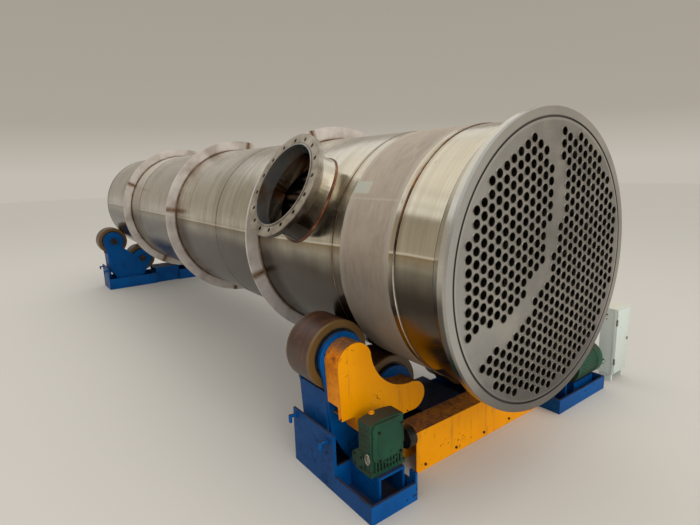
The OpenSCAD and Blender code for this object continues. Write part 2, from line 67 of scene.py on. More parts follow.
# Along the nozzle's axis, which points to -Y once it is turned level
FLANGE_FACE = -0.728
TYRES = [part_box(f"{unit}_tyre_left_outer") for unit in ("drive", "idler")]
TYRE_MIDDLES = [(low.x + high.x) / 2 for low, high in TYRES]
TYRE_HALF = (TYRES[0][1].x - TYRES[0][0].x) / 2

# Places along the vessel, measured from the drive unit's middle
HUB_WELD = 426 * MM
SEAMS = tuple(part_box(n)[0].x for n in ("front_course", "nozzle_course", "middle_course"))
# Each band ground round the shell: its two edges and how deeply it is ground
GROUND_BANDS = ((63 * MM, 390 * MM, 1.0), (-3840 * MM, -3560 * MM, 0.45))
# A lengthwise seam that crosses the front band, and a spot polished for a test
BAND_SEAM = AXIS_Z + 284 * MM
TEST_SPOT = (111 * MM, -489 * MM, AXIS_Z + 330 * MM)

# Radii on the tube sheet, the nozzle's neck and its flange
GROOVE_R = 592 * MM
NECK_BORE_R = 223.5 * MM
NECK_BEAD_R = 233 * MM
FLANGE_BORE_R = 221 * MM
FLANGE_RECESS_R = 227.5 * MM

# Angles of the rings' splices, above the horizontal on the nozzle's side
SPLICES = {"front": -17, "middle": 10, "rear": 28}

# The drive's own sizes: the worm gearboxes' middles and the height of their feet come first
GEARBOXES = {"left": -575 * MM, "right": 790 * MM}
GEARBOX_FOOT = 150 * MM
GEARBOX_W = 190 * MM
GEARBOX_T = 91 * MM
MOTOR_L = 290 * MM
MOTOR_R = 105 * MM
MOTOR_AT = (318.8 * MM, 198 * MM)
# The control box's cabinet begins this far above its feet's underside
BOX_FOOT = 54 * MM
# Places in millimetres: bolts across from a gearbox's middle and up, screws across the vessel and
# up, hooks along it from the unit's middle and up
COVER_BOLTS = ((-52, 350), (80, 352), (-50, 214), (70, 220))
GUARD_SCREWS = ((-706, 366), (-300, 270))
HOOKS = ((-150, 262), (118, 240))


def linear(code, alpha=1.0):
    """An sRGB hex code as linear red, green, blue and alpha."""
    parts = [int(code[i : i + 2], 16) / 255 for i in (1, 3, 5)]
    bent = [p / 12.92 if p <= 0.04045 else ((p + 0.055) / 1.055) ** 2.4 for p in parts]
    return (*bent, alpha)


class ExchangerSizes(bpy.types.PropertyGroup):
    """Sizes of what the finish adds to the exchanger."""

    def length(title, text, size):
        return FloatProperty(name=title, description=text, default=size, unit="LENGTH")

    tube_pitch: length("Tube pitch", "Distance between neighbouring tubes", 48 * MM)
    tube_radius: length("Tube radius", "Outside radius of a tube", 19 * MM)
    seal_weld: length("Seal weld", "Radius of the weld bead round a tube end", 1.6 * MM)
    girth_weld: length("Girth weld", "Half width of a weld bead round the shell", 8 * MM)
    neck_weld: length("Neck weld", "Radius of the weld bead round the nozzle's neck", 8 * MM)
    floor_size: length("Floor size", "Side of the plain floor", 60.0)
    pattern_turn: FloatProperty(
        name="Pattern turn",
        description="Turn of the tube pattern about the vessel's axis",
        default=math.radians(1.27),
        subtype="ANGLE",
    )


class ExchangerColours(bpy.types.PropertyGroup):
    """Colours of the exchanger's finishes."""

    def colour(title, text, code):
        return FloatVectorProperty(
            name=title, description=text, default=linear(code), size=4, subtype="COLOR"
        )

    steel: colour("Stainless plate", "Rolled and brushed shell plate", "#dad5ca")
    steel_shade: colour("Plate streaks", "Darker streaks in the shell plate", "#b9b3a6")
    straw: colour("Straw tint", "Warm tint of the plate near the front", "#dccfaf")
    # Painted shade for the dark floor's reflection on the vessel's underside
    underside_shade: colour("Underside shade", "Painted shade on the vessel's underside", "#2e261f")
    band: colour("Ground band", "Matt band ground round the shell", "#8c7863")
    sheet: colour("Tube sheet", "Machined face of the tube sheet", "#8d8a86")
    ring: colour("Stiffener ring", "Pale flame cut plate", "#c6beb7")
    blue: colour("Blue paint", "Enamel on the bases and bogies", "#005398")
    yellow: colour("Yellow paint", "Enamel on the guards and the cover", "#f5a000")
    green: colour("Green paint", "Enamel on the gearboxes and the motor", "#28543f")
    tyre: colour("Roller tyre", "Worn brown polyurethane", "#3b2217")
    grey: colour("Grey paint", "Textured paint on the control box", "#cdd6d0")
    floor: colour("Floor", "Plain pale floor", "#c4c0b9")


def sizes():
    return bpy.context.scene.exchanger_sizes


def colours():
    return bpy.context.scene.exchanger_colours


# Materials


# The setting that the second word of a node's kind goes to
MODES = {
    "Math": "operation",
    "VectorMath": "operation",
    "Mix": "data_type",
    "MapRange": "interpolation_type",
}


def add(owner, kind, *inputs, stops=(), **settings):
    """Adds one shader node to a material or a world: its settings, then its inputs in order.

    The kind may have a mode as its second word. An input is a value, a hex colour, an output, or
    a node, which stands for its first output.
    """
    tree = owner.node_tree
    kind, _, mode = kind.partition(" ")
    if mode:
        settings[MODES[kind]] = mode
    node = tree.nodes.new(f"ShaderNode{kind}")
    for key, value in settings.items():
        setattr(node, key, value)
    for socket, value in zip([s for s in node.inputs if s.enabled], inputs):
        if isinstance(value, bpy.types.Node):
            value = next(out for out in value.outputs if out.enabled)
        if isinstance(value, bpy.types.NodeSocket):
            tree.links.new(value, socket)
        elif isinstance(value, str):
            socket.default_value = linear(value)
        elif value is not None:
            socket.default_value = value
    if stops:
        elements = node.color_ramp.elements
        while len(elements) < len(stops):
            elements.new(0.5)
        for element, (at, colour) in zip(elements, stops):
            element.position = at
            element.color = linear(colour) if isinstance(colour, str) else tuple(colour)
    return node


def start_material(name, **surface):
    """A new material, the function that adds its nodes, its surface shader with those values,
    and the object's own coordinates.
    """
    mat = bpy.data.materials.new(name)
    mat.use_nodes = True
    mat.node_tree.nodes.clear()
    shader = add(mat, "BsdfPrincipled")
    for key, value in surface.items():
        shader.inputs[key].default_value = value
    add(mat, "OutputMaterial", shader)
    return mat, partial(add, mat), shader, add(mat, "TexCoord").outputs["Object"]


def dress_surface(mat, shader, colour, rough, strength, depth, relief, under=None, **more):
    """The material, once its surface has a colour, a roughness and a bump of some depth.

    One bump may lie on another. Further sockets are given by name.
    """
    bump = add(mat, "Bump", strength, depth, None, relief, under)
    for key, value in {"Base Color": colour, "Roughness": rough, "Normal": bump, **more}.items():
        if isinstance(value, bpy.types.Node):
            value = next(out for out in value.outputs if out.enabled)
        mat.node_tree.links.new(value, shader.inputs[key])
    return mat


def stretched_noise(mat, place, scales, detail, rough):
    """Noise whose marks are longer along one axis than along another."""
    return add(mat, "TexNoise", add(mat, "Mapping", place, None, None, scales), 1.0, detail, rough)


def tinted(mat, colour, value, low, high, start, end, tint, blend="SMOOTHSTEP"):
    """A colour with a tint, its share going from start to end as a value goes from low to high."""
    share = add(mat, f"MapRange {blend}", value, low, high, start, end)
    return add(mat, "Mix RGBA", share, colour, tint)


def distance(mat, value, at):
    """How far a coordinate is from a place."""
    return add(mat, "Math ABSOLUTE", add(mat, "Math SUBTRACT", value, at))


def from_axis(mat, y, z):
    """A point's place across the vessel, seen from its axis, and its distance from the axis."""
    across = add(mat, "CombineXYZ", 0.0, y, add(mat, "Math SUBTRACT", z, AXIS_Z))
    return across, add(mat, "VectorMath LENGTH", across).outputs["Value"]


def from_nozzle(mat, place):
    """A point's place along and above the nozzle's axis, turned level, and its distance from
    that axis.
    """
    turned = add(mat, "Mapping", place, (-NOZZLE_X, 0, -AXIS_Z))
    turned = add(mat, "Mapping", turned, None, (NOZZLE_TILT, 0, 0))
    across, along, up = add(mat, "SeparateXYZ", turned).outputs
    reach = add(mat, "VectorMath LENGTH", add(mat, "CombineXYZ", across, 0.0, up))
    return along, up, reach.outputs["Value"]


def shell_steel():
    """Austenitic stainless plate, rolled and brushed round the shell.

    Brushing lines blur what the plate mirrors along the vessel and leave it sharp round the
    vessel, so lamps and walls show as long bands. Matt bands are ground round it beside a weld.
    Underneath, a brown painted shade stands for the dark floor's reflection, with a painted gold
    reflection and a painted highlight at its upper edge.
    """
    c = colours()
    mat, node, shader, place = start_material("Brushed stainless plate", Anisotropic=0.8)
    x, y, z = node("SeparateXYZ", place).outputs
    # Brushing lines lie about 0.2 mm apart; here they are 3 mm apart, the finest that shows
    lines = stretched_noise(mat, place, (330, 2.5, 2.5), 2.0, 0.6)
    rolls = stretched_noise(mat, place, (26, 0.9, 0.9), 4.0, 0.6)
    clouds = node("TexNoise", place, 2.4, 5.0, 0.6)
    tone = node("Math ADD", rolls, clouds)
    colour = node("ValToRGB", node("Math MULTIPLY", tone, 0.5),
                 stops=[(0.38, c.steel_shade), (0.56, c.steel)])
    # Straw tint of the plate's heat, strongest at the front
    colour = tinted(mat, colour, x, -2.5, 0.6, 0.0, 0.5, c.straw, "LINEAR")
    # Dirt and handling marks, a few centimetres long
    marks = stretched_noise(mat, place, (14, 8, 8), 6.0, 0.65)
    colour = tinted(mat, colour, marks, 0.6, 0.72, 0.0, 0.35, "#6d6151")
    # Dark oxide in a thin line beside each weld, with brown haze
    for at, half, depth in [(HUB_WELD, 0.009, 0.55), *((s, 0.007, 0.75) for s in SEAMS)]:
        near = distance(mat, x, at)
        for reach, share, code in ((4.0, 0.3, "#8a6c4c"), (1.0, depth, "#3d2f25")):
            colour = tinted(mat, colour, near, half * reach * 0.4, half * reach, share, 0.0, code)
    # Ground bands: scratches about 6 mm apart round the shell, brown patches, paler edges
    edge = stretched_noise(mat, place, (2, 9, 9), 3.0, 0.6)
    x = node("Math ADD", x, node("Math MULTIPLY", edge, 0.012))
    scratch = stretched_noise(mat, place, (160, 14, 14), 5.0, 0.7)
    patch = stretched_noise(mat, place, (7, 3.5, 3.5), 6.0, 0.65)
    ground = node("ValToRGB", patch, stops=[(0.34, "#6d5a48"), (0.52, c.band), (0.68, "#a48f77")])
    ground = tinted(mat, ground, scratch, 0.42, 0.7, 0.0, 0.6, "#b7a792")
    ground = tinted(mat, ground, marks, 0.57, 0.66, 0.0, 0.5, "#54463c")
    matt = None
    for low, high, share in GROUND_BANDS:
        # Measured between the places where the edge noise is at its mean
        low, high = low + 0.006, high + 0.006
        rise = node("MapRange", x, low - 0.004, low + 0.004, 0.0, share)
        fall = node("MapRange", x, high - 0.004, high + 0.004, 1.0, 0.0)
        inside = node("Math MULTIPLY", rise, fall)
        matt = inside if matt is None else node("Math MAXIMUM", matt, inside)
        half = (high - low) / 2
        rim = distance(mat, x, (low + high) / 2)
        ground = tinted(mat, ground, rim, half - 0.035, half - 0.015, 0.0, 0.5, "#b9b0a5",
                        "LINEAR")
    colour = node("Mix RGBA", matt, colour, ground)
    # The lengthwise seam was ground flush and shows as a pale line
    facing = node("Math LESS_THAN", y, 0.0)
    seam = node("MapRange", distance(mat, z, BAND_SEAM), 0.002, 0.006, 0.5, 0.0)
    seam = node("Math MULTIPLY", node("Math MULTIPLY", seam, facing), matt)
    colour = node("Mix RGBA", seam, colour, "#b9ad9f")
    # The polished spot is 122 mm along the shell and 60 mm round it
    spot = node("VectorMath SUBTRACT", place, TEST_SPOT)
    spot = node("SeparateXYZ", node("VectorMath ABSOLUTE", spot)).outputs
    spot = node("Math MULTIPLY", node("MapRange", spot[0], 0.058, 0.063, 1.0, 0.0),
               node("MapRange", spot[2], 0.022, 0.028, 1.0, 0.0))
    spot = node("Math MULTIPLY", node("Math MULTIPLY", spot, facing), 0.75)
    colour = node("Mix RGBA", spot, colour, "#b4b7ab")
    # Painted shade for the dark floor's reflection underneath: it begins 180 mm above the axis
    # and is full from 40 mm below it
    height = node("Math ADD", z, node("Math MULTIPLY", clouds, 0.1))
    underside_shade = node("MapRange SMOOTHSTEP", height, AXIS_Z - 0.04, AXIS_Z + 0.18, 0.93, 0.0)
    underside_shade = node("Math MULTIPLY", underside_shade, node("MapRange", matt, 0.0, 1.0, 1.0, 0.5))
    # Near the tube sheet the painted shade starts sharply just above the axis and is thinner
    # underneath
    near = node("MapRange", x, 0.40, 0.44, 0.0, 1.0)
    start = node("MapRange", z, AXIS_Z + 0.02, AXIS_Z + 0.07, 0.5, 0.0)
    start = node("Math MULTIPLY", start, near)
    colour = node("Mix RGBA", start, colour, c.underside_shade)
    thin = node("MapRange", z, AXIS_Z - 0.22, AXIS_Z - 0.12, 0.2, 0.0)
    thin = node("Math MULTIPLY", thin, near)
    underside_shade = node("Math SUBTRACT", underside_shade, thin)
    # Its upper edge is a painted gold reflection below a painted highlight, a bright line
    rise = node("MapRange", x, -0.6, 0.5, 0.05, 0.09)
    reflection_height = node("Math SUBTRACT", node("Math SUBTRACT", z, AXIS_Z), rise)
    gold_reflection = node("MapRange", node("Math ADD", reflection_height, 0.02), -0.03, 0.012, 0.0, 1.0)
    gold_reflection = node("Math MULTIPLY", gold_reflection, node("MapRange", reflection_height, -0.008, -0.004, 1.0, 0.0))
    gold_reflection = node("Math MULTIPLY", gold_reflection, node("MapRange", matt, 0.0, 0.5, 0.68, 0.0))
    colour = node("Mix RGBA", gold_reflection, colour, "#8a6f35")
    bright_reflection = node("MapRange", node("Math ABSOLUTE", reflection_height), 0.002, 0.006, 0.8, 0.0)
    bright_reflection = node("Math MULTIPLY", bright_reflection, node("MapRange", matt, 0.0, 0.5, 1.0, 0.0))
    colour = node("Mix RGBA", bright_reflection, colour, "#fbf3e2")
    # Round the nozzle, where the neck is brushed round its own axis
    along, up, reach = from_nozzle(mat, place)
    near_side = node("Math LESS_THAN", along, 0.0)
    neck = node("Math LESS_THAN", reach, NECK_BEAD_R + 0.0085)
    neck = node("Math MULTIPLY", neck, near_side)
    # Painted shade on the neck's lower side
    neck_shade = node("MapRange SMOOTHSTEP", up, -0.08, 0.09, 0.94, 0.0)
    underside_shade = node("Mix", neck, underside_shade, neck_shade)
    # The neck's bore has painted reflections in brown and blue
    bore = node("Math MULTIPLY", node("Math LESS_THAN", reach, NECK_BORE_R), neck)
    bore_reflection = node("ValToRGB", node("TexNoise", place, 4.0, 3.0, 0.5),
               stops=[(0.38, "#6f7680"), (0.5, "#9d8f80"), (0.6, "#8d6244")])
    colour = node("Mix RGBA", bore, colour, bore_reflection)
    underside_shade = node("Math MULTIPLY", underside_shade, node("MapRange", bore, 0.0, 1.0, 1.0, 0.3))
    colour = node("Mix RGBA", underside_shade, colour, c.underside_shade)
    # Brushing runs round the vessel's axis, and round the nozzle's on the neck
    nozzle_axis = (0, -math.cos(NOZZLE_TILT), math.sin(NOZZLE_TILT))
    stroke = node("VectorTransform", node("Mix VECTOR", neck, (1, 0, 0), nozzle_axis),
                 vector_type="VECTOR", convert_from="OBJECT", convert_to="WORLD")
    rough = node("MapRange", node("Math ADD", clouds, lines), 0.8, 1.25, 0.13, 0.22)
    rough = node("Mix", matt, rough, 0.62)
    grain = node("Math ADD", lines, node("Math MULTIPLY", matt, scratch))
    grain = node("Math ADD", grain, node("Math MULTIPLY", clouds, 1.5))
    metallic = node("Math SUBTRACT", 1.0, node("Math MULTIPLY", matt, 0.55))
    # The plate swells up to the nozzle's neck, by about 12 mm, where it was drawn by the weld
    swell = node("MapRange SMOOTHSTEP", reach, 0.245, 0.42, 0.012, 0.0)
    swell = node("Math MULTIPLY", swell, near_side)
    lines = node("Bump", 0.1, 0.0008, None, grain)
    return dress_surface(mat, shader, colour, rough, 1.0, 1.0, swell, lines, Metallic=metallic,
                         Tangent=stroke)


def sheet_steel():
    """Turned stainless forging: faint rings of the lathe tool, specks, grey stains.

    The face's left half is lighter, a painted light, and its outside shines; painted shade darkens
    both low down.
    """
    c = colours()
    mat, node, shader, place = start_material("Turned stainless forging", Metallic=0.9)
    x, y, z = node("SeparateXYZ", place).outputs
    _, r = from_axis(mat, y, z)
    # Tool marks are 0.3 mm apart; here they are about 5 mm apart, as coarse as they need to show
    tool = node("TexNoise", node("CombineXYZ", r), 200.0, 2.0, 0.5)
    stains = node("TexNoise", place, 4.0, 6.0, 0.62)
    fine = node("TexNoise", place, 38.0, 5.0, 0.6)
    colour = node("ValToRGB", stains, stops=[(0.32, "#77736d"), (0.5, c.sheet), (0.66, "#a39e95")])
    colour = tinted(mat, colour, fine, 0.58, 0.74, 0.0, 0.4, "#6c675f")
    # Outside the tubes the face is paler
    colour = tinted(mat, colour, r, GROOVE_R - 0.017, GROOVE_R - 0.011, 0.0, 0.45, "#bdb9b2",
                    "LINEAR")
    # The hub's turned outside is brighter than its face
    back = node("MapRange", x, SHEET_X - 0.012, SHEET_X - 0.02, 0.0, 0.9)
    colour = node("Mix RGBA", back, colour, "#d8d0bd")
    # Painted light: the face's left half is lighter
    left = node("Math ADD", y, node("Math MULTIPLY", stains, 0.3))
    colour = tinted(mat, colour, left, -0.45, 0.25, 0.45, 0.0, "#c3c3c0")
    height = node("Math ADD", z, node("Math MULTIPLY", stains, 0.2))
    # Painted shade on the hub's turned outside, full from just below the axis
    underside_shade = node("MapRange SMOOTHSTEP", height, AXIS_Z - 0.01, AXIS_Z + 0.2, 0.93, 0.0)
    underside_shade = node("Math MULTIPLY", underside_shade, back)
    # Painted shade darkens the face itself only near the floor
    low = node("MapRange SMOOTHSTEP", height, AXIS_Z - 0.45, AXIS_Z - 0.1, 0.6, 0.0)
    underside_shade = node("Math MAXIMUM", underside_shade, low)
    colour = node("Mix RGBA", underside_shade, colour, c.underside_shade)
    # Painted shade: a black band on both sides of the groove widens its dark line
    away = distance(mat, r, GROOVE_R)
    colour = tinted(mat, colour, away, 0.0038, 0.0062, 0.75, 0.0, "#1d1a17", "LINEAR")
    rough = node("MapRange", node("Math ADD", tool, stains), 0.7, 1.3, 0.3, 0.48)
    rough = node("Mix", back, rough, 0.2)
    return dress_surface(mat, shader, colour, rough, 0.15, 0.001, tool)


def plain_steel(name, light, dark, rough, metallic=1.0, grain=30.0):
    """Bare steel with a fine uneven tone."""
    mat, node, shader, place = start_material(name, Metallic=metallic)
    tone = node("TexNoise", place, grain, 5.0, 0.6)
    colour = node("ValToRGB", tone, stops=[(0.3, dark), (0.7, light)])
    level = node("MapRange", tone, 0.3, 0.7, rough - 0.08, rough + 0.08)
    return dress_surface(mat, shader, colour, level, 0.15, 0.001, tone)


def weld_bead():
    """Stainless weld metal: ripples about 3 mm apart, from bright through copper to black."""
    mat, node, shader, place = start_material("Stainless weld bead", Metallic=1.0)
    stretch = stretched_noise(mat, place, (0.5, 2.2, 2.2), 5.0, 0.68)
    ripple = node("TexNoise", place, 160.0, 2.0, 0.5)
    colour = node("ValToRGB", stretch,
                 stops=[(0.36, "#2b2119"), (0.46, "#634c3b"), (0.53, "#a3714a"), (0.6, "#c3b499"),
                        (0.68, "#54402f")])
    x, _, z = node("SeparateXYZ", place).outputs
    # Soot is left along both toes of the hub's bead
    toe = node("MapRange", distance(mat, x, HUB_WELD), 0.0028, 0.0048, 0.0, 0.85)
    # Lower down the bead is bright silver
    bright = node("ValToRGB", stretch,
                  stops=[(0.38, "#4c4238"), (0.5, "#cdc6b8"), (0.62, "#efe9dc")])
    low = node("MapRange", z, AXIS_Z + 0.15, AXIS_Z + 0.09, 0.0, 1.0)
    colour = node("Mix RGBA", low, colour, bright)
    colour = node("Mix RGBA", toe, colour, "#2a211a")
    rough = node("MapRange", ripple, 0.3, 0.7, 0.25, 0.5)
    return dress_surface(mat, shader, colour, rough, 0.5, 0.001, ripple)


def oxide_weld(name, dark, middle, light):
    """Weld metal left as welded: matt brown oxide with straw patches, ripples 3 mm apart."""
    mat, node, shader, place = start_material(name, Metallic=0.7)
    stretch = node("TexNoise", place, 9.0, 4.0, 0.6)
    ripple = node("TexNoise", place, 150.0, 2.0, 0.5)
    colour = node("ValToRGB", stretch, stops=[(0.35, dark), (0.52, middle), (0.66, light)])
    rough = node("MapRange", ripple, 0.3, 0.7, 0.35, 0.55)
    return dress_surface(mat, shader, colour, rough, 0.5, 0.001, ripple)


def ring_steel():
    """Flame cut plate, pale and matt from blasting, brown where it was welded."""
    c = colours()
    mat, node, shader, place = start_material("Blasted stainless plate", Metallic=0.25)
    tone = node("TexNoise", place, 6.0, 6.0, 0.6)
    grit = node("TexNoise", place, 130.0, 3.0, 0.6)
    colour = node("ValToRGB", tone, stops=[(0.32, "#a79c93"), (0.52, c.ring), (0.7, "#d3ccc5")])
    x, y, z = node("SeparateXYZ", place).outputs
    across, r = from_axis(mat, y, z)
    # Darker brown at the ring's foot, up to 28 mm above the shell
    foot_distance = node("Math ADD", r, node("Math MULTIPLY", tone, 0.02))
    colour = tinted(mat, colour, foot_distance, SHELL_R + 0.012, SHELL_R + 0.028, 0.75, 0.0, "#6b5140")
    # Brown haze, about 45 mm wide, where the ring's four parts are spliced
    for name, first in SPLICES.items():
        low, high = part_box(f"stiffener_ring_{name}")
        here = node("Math LESS_THAN", distance(mat, x, (low.x + high.x) / 2), 0.1)
        # The four splices lie on two lines at right angles through the axis
        turned = node("Mapping", across, None, (math.radians(first), 0, 0))
        sides = node("SeparateXYZ", turned).outputs
        near = node("Math MINIMUM", node("Math ABSOLUTE", sides[1]),
                   node("Math ABSOLUTE", sides[2]))
        haze = node("MapRange SMOOTHSTEP", near, 0.008, 0.034, 0.85, 0.0)
        haze = node("Math MULTIPLY", haze, here)
        colour = node("Mix RGBA", haze, colour, "#7d5f49")
    rough = node("MapRange", tone, 0.3, 0.7, 0.45, 0.62)
    return dress_surface(mat, shader, colour, rough, 0.15, 0.001, grit)


def nozzle_steel():
    """Turned flange, warm grey: rings of the lathe tool on its face, painted reflections in its
    bore.
    """
    mat, node, shader, place = start_material("Machined stainless flange", Metallic=0.85)
    along, up, r = from_nozzle(mat, place)
    # Tool marks are 0.3 mm apart; here they are about 3 mm apart, as coarse as they need to show
    tool = node("TexNoise", node("CombineXYZ", r), 330.0, 2.0, 0.5)
    blots = node("TexNoise", place, 11.0, 6.0, 0.62)
    colour = node("ValToRGB", blots,
                  stops=[(0.32, "#877c6e"), (0.5, "#aba192"), (0.68, "#c2baac")])
    inner = node("MapRange", r, FLANGE_BORE_R - 0.0015, FLANGE_BORE_R + 0.0015, 0.9, 0.0)
    # Painted reflections in the bore, blue-grey and brown
    bore_reflection = node("ValToRGB", node("TexNoise", place, 4.0, 3.0, 0.5),
               stops=[(0.4, "#8b949e"), (0.52, "#a3a09b"), (0.62, "#93704f")])
    colour = node("Mix RGBA", inner, colour, bore_reflection)
    rough = node("MapRange", node("Math ADD", tool, blots), 0.75, 1.25, 0.3, 0.48)
    rough = node("Mix", inner, rough, 0.22)
    # A recess is turned just outside the bore; its shade is painted as a thin dark ring
    away = distance(mat, r, FLANGE_RECESS_R)
    colour = tinted(mat, colour, away, 0.0008, 0.0022, 0.75, 0.0, "#3f3830", "LINEAR")
    # Its turned outside shines more than its face, and painted shade darkens it underneath
    outer = node("MapRange", along, FLANGE_FACE + 0.004, FLANGE_FACE + 0.01, 0.0, 1.0)
    outer = node("Math MULTIPLY", outer, node("Math SUBTRACT", 1.0, inner))
    rough = node("Mix", outer, rough, 0.18)
    underside_shade = node("MapRange SMOOTHSTEP", up, -0.14, 0.08, 0.85, 0.0)
    underside_shade = node("Math MULTIPLY", underside_shade, outer)
    colour = node("Mix RGBA", underside_shade, colour, colours().underside_shade)
    return dress_surface(mat, shader, colour, rough, 0.15, 0.001, tool)


def painted(name, colour, shade, dust, chip, chips, rough, rust=0.0, side=None):
    """Enamel over steel, brushed or sprayed by hand.

    It shines where it is clean, is dulled by brown dust where it faces up, and is chipped to the
    primer and the steel. Where side is given, the walls that face sideways are blotched with it:
    a painted shade on the blue and green paints, rust on the yellow.
    """
    mat, node, shader, place = start_material(name, IOR=1.5)
    shader.inputs["Specular IOR Level"].default_value = 0.12
    broad = node("TexNoise", place, 5.0, 5.0, 0.6)
    fine = node("TexNoise", place, 42.0, 6.0, 0.68)
    tone = node("ValToRGB", broad, stops=[(0.3, shade), (0.62, colour)])
    # Runs of dirt down the upright sides, some 30 mm apart
    runs = stretched_noise(mat, place, (30, 30, 3), 4.0, 0.6)
    tone = tinted(mat, tone, runs, 0.55, 0.75, 0.0, 0.35 + 0.4 * rust, dust)
    faces = node("SeparateXYZ", node("NewGeometry").outputs["Normal"]).outputs
    # Painted shade on the sideways walls of the blue and green paints; rust on the yellow
    if side:
        turned = node("Math ABSOLUTE", faces[0])
        blots = node("Math MULTIPLY", node("Math ADD", broad, fine), 0.5)
        shade_and_rust = node("MapRange", blots, 0.4, 0.6, 0.35, 0.95)
        shade_and_rust = node("Math MULTIPLY", shade_and_rust, node("MapRange", turned, 0.2, 0.6, 1.0, 0.0))
        tone = node("Mix RGBA", shade_and_rust, tone, side)
    flat = node("MapRange SMOOTHSTEP", faces[2], 0.45, 0.95, 0.0, 1.0)
    cover = node("MapRange", node("Math ADD", broad, fine), 0.8, 1.15, 0.45, 0.95)
    layer = node("Math MULTIPLY", flat, cover)
    tone = node("Mix RGBA", layer, tone, dust)
    mark = node("Math ADD", node("Math MULTIPLY", fine, 1.9), broad)
    worn = node("MapRange", mark, 3 * chips - 0.05, 3 * chips, 0.0, 0.9)
    tone = node("Mix RGBA", worn, tone, chip)
    level = node("MapRange", broad, 0.3, 0.7, rough - 0.06, rough + 0.1)
    level = node("Mix", node("Math MAXIMUM", layer, worn), level, 0.75)
    relief = node("Math SUBTRACT", node("Math MULTIPLY", broad, 0.6), worn)
    return dress_surface(mat, shader, tone, level, 0.2, 0.0015, relief)


def tyre_polyurethane():
    """Cast polyurethane tread: brown, streaked along the roller, ochre at its edges."""
    c = colours()
    mat, node, shader, place = start_material("Cast polyurethane", IOR=1.5)
    streaks = stretched_noise(mat, place, (55, 3, 3), 4.0, 0.6)
    blots = node("TexNoise", place, 13.0, 5.0, 0.62)
    tone = node("Math MULTIPLY", node("Math ADD", streaks, blots), 0.5)
    colour = node("ValToRGB", tone, stops=[(0.34, "#2b1a12"), (0.5, c.tyre), (0.64, "#5b3822")])
    x = node("SeparateXYZ", place).outputs[0]
    for middle in TYRE_MIDDLES:
        near = distance(mat, x, middle)
        edge = node("MapRange", near, TYRE_HALF - 0.02, TYRE_HALF - 0.004, 0.0, 0.7)
        here = node("Math LESS_THAN", near, TYRE_HALF + 0.01)
        colour = node("Mix RGBA", node("Math MULTIPLY", edge, here), colour, "#6d5226")
    rough = node("MapRange", tone, 0.35, 0.65, 0.28, 0.5)
    return dress_surface(mat, shader, colour, rough, 0.2, 0.001, tone)


MATERIALS = {}


def make_materials():
    c = colours()
    MATERIALS.update(
        shell=shell_steel(),
        sheet=sheet_steel(),
        ring=ring_steel(),
        weld=weld_bead(),
        seam=oxide_weld("Brushed seam bead", "#3a2d24", "#6d5540", "#97836a"),
        neck=oxide_weld("Oxidised neck bead", "#3e241a", "#7a4733", "#a97c5e"),
        seal_weld=plain_steel("Seal weld bead", "#d4cfc6", "#8f897e", 0.28, 1.0, 60.0),
        tube=plain_steel("Drawn stainless tube", "#8e8980", "#5c5750", 0.35, 1.0, 20.0),
        machined=nozzle_steel(),
        dark=plain_steel("Oiled black steel", "#4b4946", "#26241f", 0.45, 0.8, 25.0),
        bolt=plain_steel("Zinc plated bolt", "#b9b6ad", "#7d7870", 0.35, 1.0, 80.0),
        # Colour, shade, dust and chips; how rarely it is chipped, how rough and how rusty; the
        # sideways walls' colour, a painted shade on blue and green and rust on yellow
        blue=painted("Blue enamel", c.blue, "#003f7a", "#332c27", "#161d2a",
                     0.6, 0.42, 0.1, "#00305f"),
        yellow=painted("Yellow enamel", c.yellow, "#ef9800", "#5e4432", "#6b3f1a",
                       0.61, 0.42, 0.1, "#b35f10"),
        green=painted("Green enamel", c.green, "#1d3d30", "#453a2d", "#141a16",
                      0.59, 0.4, 0.3, "#2b2f26"),
        grey=painted("Light grey powder coat", c.grey, "#cbd5ce", "#c4bead", "#6f7870", 0.6, 0.5),
        tyre=tyre_polyurethane(),
    )


def dress(node, material):
    """Gives a carried-over node its material."""
    slots = NODES[node].material_slots
    if not slots:
        NODES[node].data.materials.append(MATERIALS[material])
    for slot in slots:
        slot.material = MATERIALS[material]


# Modelling by hand: a primitive, shaped and finished, at its place in the frame


def clear_selection():
    if bpy.context.object and bpy.context.object.mode != "OBJECT":
        bpy.ops.object.mode_set(mode="OBJECT")
    bpy.ops.object.select_all(action="DESELECT")


def pick(*things):
    clear_selection()
    for thing in things:
        thing.select_set(True)
    bpy.context.view_layer.objects.active = things[0]
    return things[0]


def mm(*values):
    """A place or a step, given in millimetres."""
    return Vector(values) * MM


def along_axis(axis):
    return Vector([float(a == axis) for a in "xyz"])


def settled(soft=0.0, segments=2):
    """The primitive just added, with its place put into its mesh and its edges rounded."""
    thing = bpy.context.object
    bpy.ops.object.transform_apply(location=True, rotation=True, scale=True)
    if soft:
        mod = thing.modifiers.new("Rounded edges", "BEVEL")
        mod.width = soft
        mod.segments = segments
        mod.limit_method = "ANGLE"
        bpy.ops.object.modifier_apply(modifier=mod.name)
    return thing


def block(low, high, soft=0.0, segments=2):
    """A box between two corners, its edges rounded."""
    clear_selection()
    low, high = Vector(low), Vector(high)
    bpy.ops.mesh.primitive_cube_add(size=1, location=(low + high) / 2, scale=high - low)
    return settled(soft, segments)


TURNS = {"x": (0, math.pi / 2, 0), "y": (-math.pi / 2, 0, 0), "z": (0, 0, 0)}


def rod(axis, start, length, radius, sides=32, soft=0.0):
    """A round bar from a point along an axis, its ends rounded."""
    clear_selection()
    bpy.ops.mesh.primitive_cylinder_add(
        vertices=sides,
        radius=radius,
        depth=length,
        location=Vector(start) + along_axis(axis) * length / 2,
        rotation=TURNS[axis],
    )
    return settled(soft)


